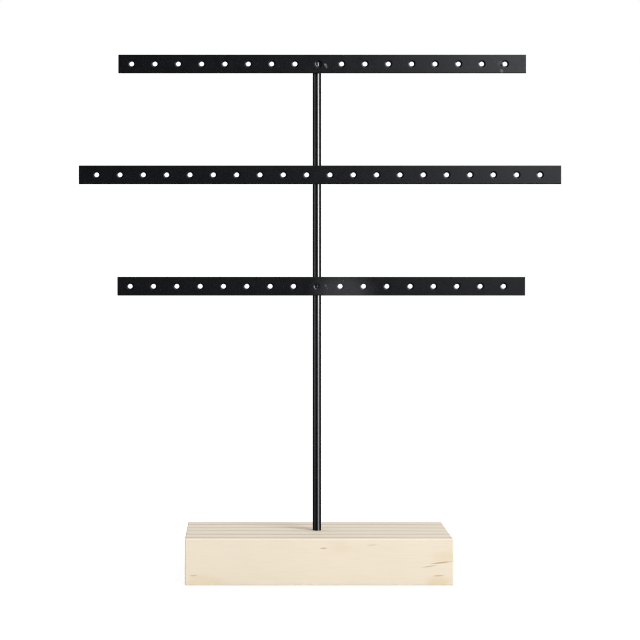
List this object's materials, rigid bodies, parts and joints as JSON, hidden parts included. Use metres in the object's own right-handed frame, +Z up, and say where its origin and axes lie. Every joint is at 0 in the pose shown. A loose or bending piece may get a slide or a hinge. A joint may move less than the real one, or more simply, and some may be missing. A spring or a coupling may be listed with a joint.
{
  "type": "jewelry display stand",
  "caption": "Free-standing earring stand: a slim round steel post on a pine block carries flat steel bars, one above another, each with a row of punched holes.",
  "frame": {"origin": "underside of the base, on the axis of the post; within 1.7 mm of the centre of the bounding box's underside, because the bars reach a little further right than left", "axes": "+Z up along the post, +X to the right along the bars, -Y the front, where the bars are"},
  "size_m": [0.2585, 0.06, 0.2794],
  "materials": {
    "pine": "matte",
    "black_coat": "satin",
    "zinc_steel": "satin"
  },
  "bodies": {
    "root": {"base_block": "pine", "post": "black_coat", "lower_bar": "black_coat", "middle_bar": "black_coat", "upper_bar": "black_coat", "lower_welds": "black_coat", "middle_welds": "black_coat", "upper_welds": "black_coat", "post_screw": "zinc_steel", "post_washer": "zinc_steel"}
  },
  "joints": []
}
